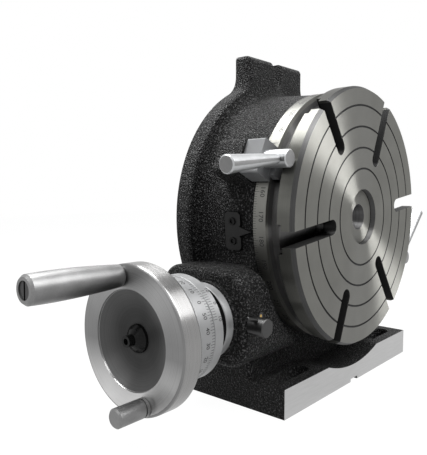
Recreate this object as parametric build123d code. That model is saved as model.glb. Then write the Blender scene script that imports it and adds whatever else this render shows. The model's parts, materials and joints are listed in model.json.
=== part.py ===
from build123d import *
from math import atan, cos, degrees, pi, radians, sin, sqrt, tan
import os

# Horizontal and vertical rotary table, drawn standing on its foot.
# The origin is on the spindle axis in the table's working face. The face looks along -Y,
# Z is up, and the handwheel stands out along -X.

# Fits, all radial unless the name says otherwise
running_fit = 0.03
seat_fit = 0.02
screw_fit = 0.2
axial_play = 0.05
stand_off = 0.3

# Table disc
table_radius = 125.0
face_bevel_radial = 2.4
face_bevel_axial = 3.8
rim_back = 16.5
rim_edge_break = 0.6
clamp_groove_depth = 13.0
flange_front = 30.0
flange_back = 43.0
flange_step = 7.5
degree_ring_wall = 4.0
under_pocket_outer = 98.5
under_pocket_inner = 60.0
table_web = 33.0
face_groove_first = 47.0
face_groove_pitch = 20.0
face_groove_count = 4
face_groove_width = 2.0
face_groove_depth = 0.9

# Centre hole: recess, locating bore and a number 3 Morse taper
recess_radius = 27.0
recess_depth = 5.5
locating_bore_radius = 12.5
locating_bore_length = 12.0
taper_mouth_radius = 11.9125
taper_rate = 0.0251
taper_length = 78.0
draw_hole_radius = 11.0

# T-slots
slot_count = 6
slot_first_angle = 6.5
slot_throat = 14.0
slot_throat_depth = 12.0
slot_wide = 25.0
slot_depth = 23.0
slot_inner_short = 73.5
slot_inner_long = 54.0

# Spindle and what holds it in the base
spindle_radius = 42.0
spindle_end = 114.0
bush_wall = 5.0
bush_front = 80.0
bush_back = 104.0
thrust_ring_thickness = 3.0
thrust_ring_radius = 56.0
nut_radius = 55.0
nut_thickness = 6.5
nut_slot_width = 7.0
nut_slot_depth = 4.0
nut_slot_count = 4
cover_radius = 66.0
cover_thickness = 4.0
cover_hole_radius = 18.0
cover_screw_circle = 60.0
cover_screw_count = 4
cover_screw_radius = 3.0
cover_screw_bite = 8.0
cover_screw_seat = 4.0
cover_skirt_inset = 4.0
cover_setback = 0.6

# Worm drive
module = 1.6
wheel_teeth = 90
pressure_angle = 20.0
worm_pitch_radius = 10.0
worm_axis_y = 62.5
wheel_width = 20.0
tooth_side_clearance = 0.17
tip_clearance = 0.2
worm_length = 52.0
wheel_screw_circle = 51.0
wheel_screw_count = 6
wheel_screw_radius = 3.0
wheel_screw_reach = 11.0
wheel_screw_seat = 7.0

# Eccentric sleeve that carries the worm
sleeve_radius = 20.0
sleeve_offset = 5.0
sleeve_turn = 50.0
sleeve_back = 64.0
sleeve_bore = 12.1
sleeve_window_start = 45.0
sleeve_window_spare = 5.0
sleeve_window_end = 150.0
wheel_clearance = 1.5
worm_journal_radius = 7.5
worm_bush_length = 33.0
front_bush_length = 18.0
plug_thickness = 3.5

# Collars and dials along the worm axis, measured along X
boss_face = -162.4
collar_width = 8.5
collar_radius = 32.0
vernier_back = -187.0
vernier_width = 9.8
dial_width = 29.2
dial_radius = 42.3
dial_bore = 30.0

# Handwheel
handwheel_face = -243.3
handwheel_radius = 56.3
handwheel_rim = 18.0
rim_round = 2.2
rim_back_round = 3.0
dish_radius = 37.5
dish_depth = 8.5
dish_floor_radius = 15.0
web_thickness = 4.0
rim_inner = 50.0
shaft_end_radius = 7.0
key_width = 4.0
hub_washer_radius = 11.0
hub_washer_height = 7.0
hub_screw_radius = 3.0
hub_screw_head_radius = 4.3
hub_screw_head = 5.0
hub_screw_reach = 16.0
handle_circle = 47.8
long_handle_tilt = 12.0
short_handle_tilt = 19.0
long_handle_length = 76.5
long_handle_root = 8.4
long_handle_end = 10.7
handle_pin_radius = 4.0
handle_pin_head = 6.4
short_handle_length = 27.0
short_handle_radius = 7.1

# Base casting
centre_height = 165.0
back_face = 120.0
drum_step = 0.5
drum_taper = 3.0
plate_front = 102.0
plate_lip = 13.5
plate_front_round = 7.0
drum_root_round = 12.0
foot_front = 6.5
foot_height = 26.0
scallop_radius = 148.0
pedestal_inset = 3.0
pedestal_corner = 4.0
pedestal_shoulder = -107.0
table_clearance = 13.0
chamber_radius = 97.5
chamber_back = 78.0
boss_radius = 33.0
housing_face = -158.0
housing_front = 23.0
housing_back = 118.0
housing_rise = 43.0
housing_drop = 38.0
housing_corner = 20.0
housing_edge_round = 5.0
key_slot_width = 14.0
key_slot_depth = 3.0
foot_slot_width = 17.0
foot_slot_inner = 63.0
foot_slot_outer = 113.0
foot_slot_y = 26.0
lug_half_width = 50.0
lug_height = 25.0
lug_root_round = 22.0
lug_slot_width = 18.0
lug_slot_sink = 3.0
back_recess_depth = 16.0

# Table clamps
clamp_angle = 157.0
clamp_axis_out = 13.0
clamp_pad_front = 46.3
clamp_pad_length = 29.7
clamp_pad_half_width = 16.5
clamp_pad_wall = 11.5
clamp_pad_root = 30.0
clamp_block_half_width = 15.5
clamp_block_wall = 9.0
clamp_block_front = 27.3
clamp_nose_overlap = 4.0
clamp_nose_thickness = 7.0
clamp_nose_half_width = 11.0
clamp_gap = 0.3
clamp_relief = 2.0
clamp_stud_radius = 5.0
clamp_stud_depth = 22.0
lever_hub_radius = 7.5
lever_hub_front = 4.5
lever_axis_y = 12.8
lever_length = 71.0
lever_root_radius = 4.6
lever_end_radius = 7.2
lever_angles = (185.5, 46.0)

# Worm lock screw
lock_screw_x = -150.0
lock_head_radius = 7.7
lock_head_front = 6.6
lock_head_gap = 1.0
lock_screw_radius = 4.0
lock_pad_length = 4.0
lock_pin_radius = 1.7
lock_pin_length = 34.0
lock_pin_rise = 4.8
lock_pin_tilt = 16.0

# Index plate and oiler
index_angle = -175.4
index_plate_front = 56.0
index_plate_back = 73.5
index_plate_half_height = 17.0
index_plate_thickness = 2.6
index_tip_y = 44.6
index_seat_depth = 0.8
index_screw_offset = 8.8
index_screw_radius = 2.0
index_screw_head = 3.4
index_screw_reach = 7.0
index_screw_length = 8.6
oiler_radius = 3.0
oiler_x = -137.2
oiler_z = -76.7
oiler_depth = 12.0

# Sizes that follow from the ones above
clamp_groove_radius = table_radius - clamp_groove_depth
flange_radius = table_radius - flange_step
ring_radius = flange_radius + degree_ring_wall
drum_front_radius = ring_radius - drum_step
drum_back_radius = drum_front_radius + drum_taper
plate_radius = drum_back_radius + plate_lip
foot_half_width = table_radius
lug_top = plate_radius + lug_height
lug_slot_floor = plate_radius - lug_slot_sink
index_seat_radius = drum_front_radius - index_seat_depth
clamp_axis_radius = drum_front_radius + clamp_axis_out
clamp_pad_outer = clamp_axis_radius + clamp_pad_wall
clamp_block_outer = clamp_axis_radius + clamp_block_wall
clamp_nose_reach = clamp_groove_radius + clamp_nose_overlap
wheel_pitch_radius = module * wheel_teeth / 2
wheel_tip_radius = wheel_pitch_radius + module
worm_axis_z = -(wheel_pitch_radius + worm_pitch_radius)
worm_tip_radius = worm_pitch_radius + module
worm_root_radius = worm_pitch_radius - module - tip_clearance
wheel_root_radius = wheel_pitch_radius - module - tip_clearance
worm_lead = pi * module
lead_angle = degrees(atan(worm_lead / (2 * pi * worm_pitch_radius)))
wheel_front = worm_axis_y - wheel_width / 2
wheel_back = worm_axis_y + wheel_width / 2
sleeve_axis_y = worm_axis_y + sleeve_offset
seat_face = flange_back + axial_play
collar_front = boss_face - stand_off - collar_width
vernier_front = vernier_back - vernier_width
sleeve_front = vernier_front + 2.0
dial_back = vernier_front - stand_off
dial_front = dial_back - dial_width
dish_floor = handwheel_face + dish_depth
rim_back_face = handwheel_face + handwheel_rim
web_back = dish_floor + web_thickness
foot_top = foot_height - centre_height
nut_back = bush_back + thrust_ring_thickness + nut_thickness


def rod_y(radius, y0, y1, x=0.0, z=0.0):
    return Pos(x, y0, z) * Rot(-90, 0, 0) * Cylinder(
        radius, y1 - y0, align=(Align.CENTER, Align.CENTER, Align.MIN))


def rod_x(radius, x0, x1, y=worm_axis_y, z=worm_axis_z):
    return Pos(x0, y, z) * Rot(0, 90, 0) * Cylinder(
        radius, x1 - x0, align=(Align.CENTER, Align.CENTER, Align.MIN))


def rod_z(radius, z0, z1, x=0.0, y=0.0):
    return Pos(x, y, z0) * Cylinder(radius, z1 - z0, align=(Align.CENTER, Align.CENTER, Align.MIN))


def block(x0, x1, y0, y1, z0, z1):
    return Pos((x0 + x1) / 2, (y0 + y1) / 2, (z0 + z1) / 2) * Box(x1 - x0, y1 - y0, z1 - z0)


def turned_y(points):
    """A body turned about the spindle axis from (radius, y) points."""
    return revolve(make_face(Polyline(*points, close=True)), Axis.Y)


def turned_x(points, y=worm_axis_y, z=worm_axis_z):
    """A body turned about a line along X from (x, radius) points."""
    return Pos(0, y, z) * revolve(make_face(Polyline(*points, close=True)), Axis.X)


def about_spindle(angle):
    """Turn that carries the +X radius to the given angle, seen from the front."""
    return Rot(0, -angle, 0)


def copies(item, angles):
    return [about_spindle(angle) * item for angle in angles]


def even_angles(count, first=0.0):
    return [first + 360.0 / count * step for step in range(count)]


# Table

def t_slot(inner):
    """One T-slot along +X, with round closed ends."""
    half = slot_throat / 2
    centre = inner + half
    reach = table_radius + 5.0
    throat = block(centre, reach, -1.0, slot_throat_depth + 0.5, -half, half)
    throat += rod_y(half, -1.0, slot_throat_depth + 0.5, centre)
    wide = block(centre, reach, slot_throat_depth, slot_depth, -slot_wide / 2, slot_wide / 2)
    wide += rod_y(slot_wide / 2, slot_throat_depth, slot_depth, centre)
    return throat + wide


def rotary_table():
    taper_start = recess_depth + locating_bore_length
    taper_end = taper_start + taper_length
    taper_end_radius = taper_mouth_radius - taper_length * taper_rate
    outline = [
        (locating_bore_radius, recess_depth),
        (recess_radius, recess_depth),
        (recess_radius, 0),
        (table_radius - face_bevel_radial, 0),
        (table_radius, face_bevel_axial),
        (table_radius, rim_back - rim_edge_break),
        (table_radius - rim_edge_break, rim_back),
        (clamp_groove_radius, rim_back),
        (clamp_groove_radius, flange_front),
        (flange_radius, flange_front),
        (flange_radius, flange_back),
        (under_pocket_outer, flange_back),
        (under_pocket_outer, table_web),
        (under_pocket_inner, table_web),
        (under_pocket_inner, wheel_front),
        (spindle_radius, wheel_front),
        (spindle_radius, spindle_end),
        (draw_hole_radius, spindle_end),
        (draw_hole_radius, taper_end),
        (taper_end_radius, taper_end),
        (taper_mouth_radius, taper_start),
        (locating_bore_radius, taper_start),
    ]
    body = turned_y(outline)
    for index in range(face_groove_count):
        radius = face_groove_first + face_groove_pitch * index
        half = face_groove_width / 2
        body -= turned_y([(radius - half, -1), (radius + half, -1), (radius + half, 0),
                          (radius + half / 2, face_groove_depth),
                          (radius - half / 2, face_groove_depth), (radius - half, 0)])
    angles = even_angles(slot_count, slot_first_angle)
    for index, angle in enumerate(angles):
        inner = slot_inner_short if index % 2 == 0 else slot_inner_long
        body -= about_spindle(angle) * t_slot(inner)
    hole = rod_y(wheel_screw_radius, wheel_front - wheel_screw_reach - 1.0, wheel_front + 1.0,
                 wheel_screw_circle)
    for item in copies(hole, even_angles(wheel_screw_count)):
        body -= item
    return body


def degree_ring():
    return rod_y(ring_radius, flange_front, flange_back) - rod_y(
        flange_radius + seat_fit, flange_front - 1, flange_back + 1)


def tooth_gap():
    """Straight tapered gap of the worm wheel at its lowest point, set over by the lead angle."""
    half_pitch = worm_lead / 4
    flank = tan(radians(pressure_angle + 90.0 / wheel_teeth))
    bottom = half_pitch - flank * (wheel_pitch_radius - wheel_root_radius)
    over = 1.0
    top = half_pitch + flank * (wheel_tip_radius + over - wheel_pitch_radius)
    profile = make_face(Polyline((-bottom, wheel_root_radius), (bottom, wheel_root_radius),
                                 (top, wheel_tip_radius + over), (-top, wheel_tip_radius + over),
                                 close=True))
    length = wheel_width * 1.2
    gap = extrude(profile, length / 2, both=True)
    gap = Rot(-90, 0, 0) * gap
    return Pos(0, worm_axis_y, 0) * Rot(0, 0, lead_angle) * gap


def worm_wheel():
    chamfer_run = module
    blank = turned_y([
        (spindle_radius + seat_fit, wheel_front),
        (wheel_tip_radius - chamfer_run, wheel_front),
        (wheel_tip_radius, wheel_front + chamfer_run),
        (wheel_tip_radius, wheel_back - chamfer_run),
        (wheel_tip_radius - chamfer_run, wheel_back),
        (spindle_radius + seat_fit, wheel_back),
    ])
    cutter = tooth_gap()
    blank = blank.cut(*copies(cutter, even_angles(wheel_teeth)))
    head = wheel_screw_radius * 1.8
    for angle in even_angles(wheel_screw_count):
        hole = rod_y(wheel_screw_radius + screw_fit, wheel_front - 1, wheel_back + 1, wheel_screw_circle)
        hole += rod_y(head, wheel_back - wheel_screw_seat, wheel_back + 1, wheel_screw_circle)
        blank -= about_spindle(angle) * hole
    return blank


def wheel_screws():
    head = wheel_screw_radius * 1.8 - screw_fit
    one = rod_y(wheel_screw_radius - seat_fit, wheel_front - wheel_screw_reach,
                wheel_back - wheel_screw_seat + 1.0, wheel_screw_circle)
    one += rod_y(head, wheel_back - wheel_screw_seat, wheel_back - 1.0, wheel_screw_circle)
    one -= rod_y(head * 0.5, wheel_back - 4.0, wheel_back, wheel_screw_circle)
    return copies(one, even_angles(wheel_screw_count))


def spindle_nut():
    front = bush_back + thrust_ring_thickness + axial_play
    nut = rod_y(nut_radius, front, nut_back) - rod_y(spindle_radius + seat_fit, front - 1, nut_back + 1)
    notch = block(nut_radius - nut_slot_depth, nut_radius + 1, front - 1, nut_back + 1,
                  -nut_slot_width / 2, nut_slot_width / 2)
    for item in copies(notch, even_angles(nut_slot_count)):
        nut -= item
    return nut


# Base

def plate_outline():
    """Back plate seen from the front: round flange, straight sides to the foot, lug on top."""
    disc = Circle(plate_radius)
    corner = -sqrt(plate_radius ** 2 - foot_half_width ** 2)
    lower = Pos(0, (corner - centre_height) / 2) * Rectangle(2 * foot_half_width, centre_height + corner)
    lug_low = plate_radius * 0.6
    lug = Pos(0, (lug_top + lug_low) / 2) * Rectangle(2 * lug_half_width, lug_top - lug_low)
    outline = disc + lower + lug
    lug_foot = sqrt(plate_radius ** 2 - lug_half_width ** 2)
    roots = [v for v in outline.vertices()
             if abs(abs(v.X) - lug_half_width) < 0.01 and abs(v.Y - lug_foot) < 0.01]
    outline = fillet(roots, lug_root_round)
    tops = [v for v in outline.vertices() if abs(v.Y - lug_top) < 0.01]
    return fillet(tops, 4.0)


def back_plate():
    plate = extrude(Plane.XZ * plate_outline(), plate_front - back_face)
    plate = Pos(0, plate_front, 0) * plate
    front_edges = plate.faces().sort_by(Axis.Y)[0].outer_wire().edges()
    return fillet(front_edges, plate_front_round)


def drum():
    root_y = plate_front - drum_root_round
    with BuildSketch() as side:
        with BuildLine():
            Polyline((0, seat_face), (drum_front_radius - 1, seat_face),
                     (drum_front_radius, seat_face + 1), (drum_back_radius, root_y))
            ThreePointArc((drum_back_radius, root_y),
                          (drum_back_radius + drum_root_round * (1 - cos(pi / 4)),
                           root_y + drum_root_round * sin(pi / 4)),
                          (drum_back_radius + drum_root_round, plate_front))
            Polyline((drum_back_radius + drum_root_round, plate_front),
                     (drum_back_radius + drum_root_round - 4, plate_front + 4),
                     (0, plate_front + 4), (0, seat_face))
        make_face()
    return revolve(side.sketch, Axis.Y)


def pedestal():
    """Walls between the foot and the drum, flush with the foot's ends."""
    wide = foot_half_width
    narrow = drum_front_radius - pedestal_inset
    outline = make_face(Polyline(
        (-wide, -centre_height), (wide, -centre_height), (wide, pedestal_shoulder),
        (narrow, 0), (-narrow, 0), (-wide, pedestal_shoulder), close=True))
    body = Pos(0, seat_face, 0) * extrude(Plane.XZ * outline, seat_face - plate_front - plate_front_round)
    sides = body.faces().sort_by(Axis.Y)[0].edges().filter_by(Axis.X, reverse=True)
    return fillet(sides, pedestal_corner)


def foot():
    body = block(-foot_half_width, foot_half_width, foot_front, back_face, -centre_height, foot_top)
    return body - rod_y(scallop_radius, foot_front - 1, seat_face)


def worm_housing():
    """Rounded block on the left that holds the worm, with a short round boss on its end."""
    root = -drum_front_radius / 2
    body = block(housing_face, root, housing_front, housing_back,
                 worm_axis_z - housing_drop, worm_axis_z + housing_rise)
    body = fillet(body.edges().filter_by(Axis.X), housing_corner)
    body = fillet(body.faces().sort_by(Axis.X)[0].outer_wire().edges(), housing_edge_round)
    return body + rod_x(boss_radius, boss_face, root)


def clamp_pads():
    body = block(drum_front_radius - clamp_pad_root, clamp_pad_outer, clamp_pad_front,
                 clamp_pad_front + clamp_pad_length, -clamp_pad_half_width, clamp_pad_half_width)
    body = fillet(body.edges().filter_by(Axis.Y).group_by(Axis.X)[-1], 5.0)
    body = fillet(body.faces().sort_by(Axis.Y)[-1].edges().group_by(Axis.X)[-1], 4.0)
    return copies(body, (clamp_angle, clamp_angle + 180))


def clamp_relief_cut():
    half = clamp_block_half_width + clamp_relief
    return block(drum_front_radius + 0.5, clamp_pad_outer + 1, seat_face - 1, clamp_pad_front, -half, half)


def slot_z(x0, x1, width, y, z0, z1):
    half = width / 2
    shape = block(x0 + half, x1 - half, y - half, y + half, z0, z1)
    shape += rod_z(half, z0, z1, x0 + half, y)
    shape += rod_z(half, z0, z1, x1 - half, y)
    return shape


def index_seat_cut():
    seat = block(index_seat_radius, drum_back_radius + 5, seat_face - 1, index_plate_back + 0.6,
                 -index_plate_half_height - 0.6, index_plate_half_height + 0.6)
    return about_spindle(index_angle) * seat


def base_casting():
    body = back_plate() + drum() + pedestal() + foot() + worm_housing()
    for pad in clamp_pads():
        body += pad

    # Room for the turning table and for the clamp blocks
    body -= rod_y(table_radius + table_clearance, foot_front - 1, seat_face)
    for angle in (clamp_angle, clamp_angle + 180):
        body -= about_spindle(angle) * clamp_relief_cut()

    # Chamber for the wheel, seat for the bush and pocket for the nut
    body -= rod_y(chamber_radius, seat_face - 1, chamber_back)
    body -= rod_y(spindle_radius + bush_wall + seat_fit, chamber_back - 1, back_face + 1)
    body -= rod_y(cover_radius + seat_fit, back_face - back_recess_depth, back_face + 1)
    body -= rod_x(sleeve_radius + running_fit, boss_face - 1, sleeve_back + stand_off,
                  sleeve_axis_y)

    # Slots for the clamping bolts and the key slot under the foot
    for side in (-1, 1):
        ends = sorted((side * foot_slot_inner, side * foot_slot_outer))
        body -= slot_z(ends[0], ends[1], foot_slot_width, foot_slot_y, -centre_height - 1, foot_top + 1)
    half = lug_slot_width / 2
    body -= block(-half, half, plate_front - 2, back_face + 1, lug_slot_floor + half, lug_top + 1)
    body -= rod_y(half, plate_front - 2, back_face + 1, 0, lug_slot_floor + half)
    body -= block(-key_slot_width / 2, key_slot_width / 2, foot_front - 1, back_face + 1,
                  -centre_height - 1, key_slot_depth - centre_height)

    # Holes for the smaller pieces
    for angle in (clamp_angle, clamp_angle + 180):
        hole = rod_y(clamp_stud_radius + running_fit, clamp_pad_front - 1,
                     clamp_pad_front + clamp_stud_depth + 1, clamp_axis_radius)
        body -= about_spindle(angle) * hole
    body -= index_seat_cut()
    for offset in (-index_screw_offset, index_screw_offset):
        body -= about_spindle(index_angle) * index_screw_hole(offset, index_screw_radius)
    body -= rod_y(lock_screw_radius + running_fit, housing_front - 1, sleeve_axis_y,
                  lock_screw_x, worm_axis_z)
    body -= oiler_body(seat_fit, 1.0)
    for angle in even_angles(cover_screw_count, 45.0):
        hole = rod_y(cover_screw_radius, back_face - back_recess_depth - cover_screw_bite - 2,
                     back_face - back_recess_depth + 1, cover_screw_circle)
        body -= about_spindle(angle) * hole
    return body


def spindle_bush():
    return rod_y(spindle_radius + bush_wall, bush_front, bush_back) - rod_y(
        spindle_radius + running_fit, bush_front - 1, bush_back + 1)


def thrust_ring():
    back = bush_back + thrust_ring_thickness
    return rod_y(thrust_ring_radius, bush_back, back) - rod_y(
        spindle_radius + 0.3, bush_back - 1, back + 1)


def rear_cover():
    front = back_face - cover_setback - cover_thickness
    floor = back_face - back_recess_depth
    plate = rod_y(cover_radius, front, back_face - cover_setback)
    skirt_bore = cover_screw_circle - cover_skirt_inset
    skirt = rod_y(cover_radius, floor, front) - rod_y(skirt_bore, floor - 1, front + 1)
    cover = plate + skirt - rod_y(cover_hole_radius, front - 1, back_face + 1)
    head = cover_screw_radius * 1.8
    head_seat = back_face - cover_setback - cover_screw_seat
    for angle in even_angles(cover_screw_count, 45.0):
        hole = rod_y(cover_screw_radius + screw_fit, floor - 1, back_face + 1, cover_screw_circle)
        hole += rod_y(head, head_seat, back_face + 1, cover_screw_circle)
        cover -= about_spindle(angle) * hole
    return cover


def rear_cover_screws():
    head = cover_screw_radius * 1.8 - screw_fit
    top = back_face - cover_setback - 0.4
    floor = back_face - back_recess_depth
    one = rod_y(cover_screw_radius - seat_fit, floor - cover_screw_bite, top, cover_screw_circle)
    one += rod_y(head, back_face - cover_setback - cover_screw_seat, top, cover_screw_circle)
    one -= rod_y(head * 0.5, top - 2.0, top + 1, cover_screw_circle)
    return copies(one, even_angles(cover_screw_count, 45.0))


def oiler_body(extra, head):
    """Press-in ball oiler in the front of the worm housing."""
    return rod_y(oiler_radius + extra, housing_front - head, housing_front + oiler_depth,
                 oiler_x, oiler_z)


# Index plate

def index_screw_hole(offset, radius):
    return Pos(index_seat_radius, (index_plate_front + index_plate_back) / 2, offset) * Rot(
        0, 90, 0) * Cylinder(radius, 2 * (index_plate_thickness + 6.0))


def index_plate():
    """Flat plate with clipped corners and a pointer that reaches to the graduations."""
    half = index_plate_half_height
    clip = 2.5
    tip_half = 3.6
    face = make_face(Polyline(
        (index_plate_back, -half + clip), (index_plate_back - clip, -half),
        (index_plate_front + clip, -half), (index_plate_front, -half + clip),
        (index_plate_front, -tip_half - 2.0), (index_plate_front + 1.6, -tip_half - 1.0),
        (index_plate_front, -tip_half), (index_tip_y, 0), (index_plate_front, tip_half),
        (index_plate_front + 1.6, tip_half + 1.0), (index_plate_front, tip_half + 2.0),
        (index_plate_front, half - clip), (index_plate_front + clip, half),
        (index_plate_back - clip, half), (index_plate_back, half - clip), close=True))
    plate = Plane.YZ * face
    plate = extrude(plate, index_plate_thickness)
    plate = Pos(index_seat_radius, 0, 0) * plate
    for offset in (-index_screw_offset, index_screw_offset):
        plate -= index_screw_hole(offset, index_screw_radius + screw_fit)
        sink = Pos(index_seat_radius + index_plate_thickness - 1.0,
                   (index_plate_front + index_plate_back) / 2, offset) * Rot(0, 90, 0)
        plate -= sink * Cylinder(index_screw_head + screw_fit, 4.0,
                                 align=(Align.CENTER, Align.CENTER, Align.MIN))
    return about_spindle(index_angle) * plate


def index_screws():
    middle = (index_plate_front + index_plate_back) / 2
    screws = []
    for offset in (-index_screw_offset, index_screw_offset):
        place = Pos(index_seat_radius, middle, offset) * Rot(0, 90, 0)
        shank = Pos(0, 0, -index_screw_reach) * Cylinder(
            index_screw_radius - seat_fit, index_screw_length,
            align=(Align.CENTER, Align.CENTER, Align.MIN))
        head = Pos(0, 0, index_plate_thickness - 1.0) * Cylinder(
            index_screw_head, 2.2, align=(Align.CENTER, Align.CENTER, Align.MIN))
        socket = Pos(0, 0, index_plate_thickness) * Cylinder(
            index_screw_head * 0.55, 3.0, align=(Align.CENTER, Align.CENTER, Align.MIN))
        screws.append(about_spindle(index_angle) * place * (shank + head - socket))
    return screws


# Worm, sleeve and dials

def worm_thread():
    half_mid = worm_lead / 4 - tooth_side_clearance
    flank = tan(radians(pressure_angle))
    foot_radius = worm_root_radius - 0.6
    half_tip = half_mid - flank * (worm_tip_radius - worm_pitch_radius)
    half_foot = half_mid + flank * (worm_pitch_radius - foot_radius)
    turns_length = round((worm_length - 2 * worm_lead) / (2 * worm_lead)) * 2 * worm_lead
    path = Helix(worm_lead, turns_length, worm_pitch_radius)
    reach = worm_tip_radius - worm_pitch_radius
    depth = worm_pitch_radius - foot_radius
    profile = Plane.XZ * Pos(worm_pitch_radius, 0) * make_face(Polyline(
        (-depth, -half_foot), (reach, -half_tip), (reach, half_tip), (-depth, half_foot), close=True))
    thread = sweep(profile, path=path, is_frenet=True)
    return Pos(-turns_length / 2, worm_axis_y, worm_axis_z) * Rot(0, 90, 0) * Rot(0, 0, 180) * thread


def worm_shaft():
    half = worm_length / 2
    journal_end = half + worm_bush_length + axial_play
    hub_seat = handwheel_face + dish_depth
    outline = [
        (hub_seat + 1.0, 0), (hub_seat + 1.0, shaft_end_radius - 0.6),
        (hub_seat + 1.6, shaft_end_radius), (dial_back + 0.2, shaft_end_radius),
        (dial_back + 0.2, worm_journal_radius), (-half, worm_journal_radius),
        (-half, worm_root_radius), (half, worm_root_radius),
        (half, worm_journal_radius), (journal_end - 1.0, worm_journal_radius),
        (journal_end - 0.4, worm_journal_radius - 0.6), (journal_end - 0.4, 0),
    ]
    body = turned_x(outline) + worm_thread()
    body -= rod_x(hub_screw_radius, hub_seat, hub_seat + hub_screw_reach + 2)
    return body - key_block(seat_fit)


def key_block(extra):
    """Parallel key between the shaft end and the handwheel's hub."""
    half = key_width / 2 + extra
    return block(dish_floor + 2.0, dial_back - 6.0, worm_axis_y - half, worm_axis_y + half,
                 worm_axis_z + shaft_end_radius - 2.0 - extra, worm_axis_z + shaft_end_radius + 1.6 + extra)


def eccentric_sleeve():
    body = rod_x(sleeve_radius, sleeve_front, sleeve_back, sleeve_axis_y)
    body -= rod_x(sleeve_bore, sleeve_front - 1, sleeve_back + 1)
    half = sqrt((wheel_tip_radius + wheel_clearance) ** 2 - (worm_axis_z + sleeve_radius) ** 2)
    first = sleeve_window_start - sleeve_turn - sleeve_window_spare
    reach = 2 * sleeve_radius
    steps = 8
    points = [(0, 0)]
    for step in range(steps + 1):
        angle = radians(first + step * (sleeve_window_end - first) / steps)
        points.append((reach * cos(angle), reach * sin(angle)))
    wedge = Plane.YZ * make_face(Polyline(*points, close=True))
    wedge = Pos(-half, sleeve_axis_y, worm_axis_z) * extrude(wedge, 2 * half)
    return body - wedge


def sleeve_plug():
    return rod_x(sleeve_bore - seat_fit, sleeve_back - plug_thickness, sleeve_back)


def ring_on_sleeve(radius, x0, x1):
    """Ring round the worm axis, bored to sit on the off-centre sleeve."""
    ring = rod_x(radius, x0, x1)
    ring = chamfer(ring.edges().filter_by(GeomType.CIRCLE), 0.5)
    return ring - rod_x(sleeve_radius + seat_fit, x0 - 1, x1 + 1, sleeve_axis_y)


def shaft_bush(x0, x1):
    return rod_x(sleeve_bore - seat_fit, x0, x1) - rod_x(worm_journal_radius + running_fit, x0 - 1, x1 + 1)


def dial_ring():
    ring = rod_x(dial_radius, dial_front, dial_back)
    ring = chamfer(ring.edges().filter_by(GeomType.CIRCLE), 0.5)
    ring -= rod_x(dial_bore + running_fit, dial_front - 1, dial_back + 1)
    return ring - dial_screw_rod(2.5 + seat_fit)


def dial_screw_rod(radius, top=None):
    """Radial lock screw of the dial, on the side away from the front."""
    middle = (dial_front + dial_back) / 2
    length = (dial_radius if top is None else top) - dial_bore
    return Pos(middle, worm_axis_y + dial_bore, worm_axis_z) * Rot(-90, 0, 0) * Cylinder(
        radius, length + (1.0 if top is None else 0.0), align=(Align.CENTER, Align.CENTER, Align.MIN))


def dial_lock_screw():
    middle = (dial_front + dial_back) / 2
    screw = dial_screw_rod(2.5, dial_radius - 1.0) - rod_y(
        1.25, worm_axis_y + dial_radius - 4.0, worm_axis_y + dial_radius, middle, worm_axis_z)
    gap = rod_x(dial_bore + running_fit, dial_front, dial_back)
    return screw - gap


# Handwheel and handles

def handle_place(side):
    """Centre of a handle on the handwheel: 1 for the long one, -1 for the short one."""
    tilt = radians(long_handle_tilt if side > 0 else short_handle_tilt)
    return worm_axis_y + side * handle_circle * sin(tilt), worm_axis_z + side * handle_circle * cos(tilt)


def handwheel():
    face = handwheel_face
    with BuildSketch() as outline:
        with BuildLine():
            Polyline((dish_floor, shaft_end_radius + seat_fit), (dish_floor, dish_floor_radius))
            ThreePointArc((dish_floor, dish_floor_radius),
                          (face + dish_depth * 0.72, dish_radius * 0.78),
                          (face + 1.2, dish_radius))
            Polyline((face + 1.2, dish_radius), (face, dish_radius + 0.4),
                     (face, handwheel_radius - rim_round))
            ThreePointArc((face, handwheel_radius - rim_round),
                          (face + rim_round * (1 - cos(pi / 4)),
                           handwheel_radius - rim_round * (1 - sin(pi / 4))),
                          (face + rim_round, handwheel_radius))
            Line((face + rim_round, handwheel_radius), (rim_back_face - rim_back_round, handwheel_radius))
            ThreePointArc((rim_back_face - rim_back_round, handwheel_radius),
                          (rim_back_face - rim_back_round * (1 - cos(pi / 4)),
                           handwheel_radius - rim_back_round * (1 - sin(pi / 4))),
                          (rim_back_face, handwheel_radius - rim_back_round))
            Polyline((rim_back_face, handwheel_radius - rim_back_round), (rim_back_face, rim_inner),
                     (web_back, rim_inner - 4.0), (web_back, dial_bore),
                     (dial_back, dial_bore), (dial_back, shaft_end_radius + seat_fit),
                     (dish_floor, shaft_end_radius + seat_fit))
        make_face()
    body = Pos(0, worm_axis_y, worm_axis_z) * revolve(outline.sketch, Axis.X)
    for side in (-1, 1):
        y, z = handle_place(side)
        body -= rod_x(handle_pin_radius, face - 1, web_back + 5, y, z)
    return body - key_block(seat_fit)


def hub_washer():
    base = dish_floor
    return turned_x([
        (base, hub_screw_radius + screw_fit), (base, hub_washer_radius),
        (base - 2.0, hub_washer_radius - 0.4), (base - hub_washer_height * 0.7, hub_washer_radius * 0.72),
        (base - hub_washer_height, hub_washer_radius * 0.45),
        (base - hub_washer_height, hub_screw_radius + screw_fit),
    ])


def hub_screw():
    seat = dish_floor - hub_washer_height
    body = rod_x(hub_screw_radius - seat_fit, seat - 1.0, dish_floor + hub_screw_reach)
    body += rod_x(hub_screw_head_radius, seat - hub_screw_head, seat)
    return body - rod_x(hub_screw_head_radius * 0.55, seat - hub_screw_head - 1, seat - hub_screw_head / 2)


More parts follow.
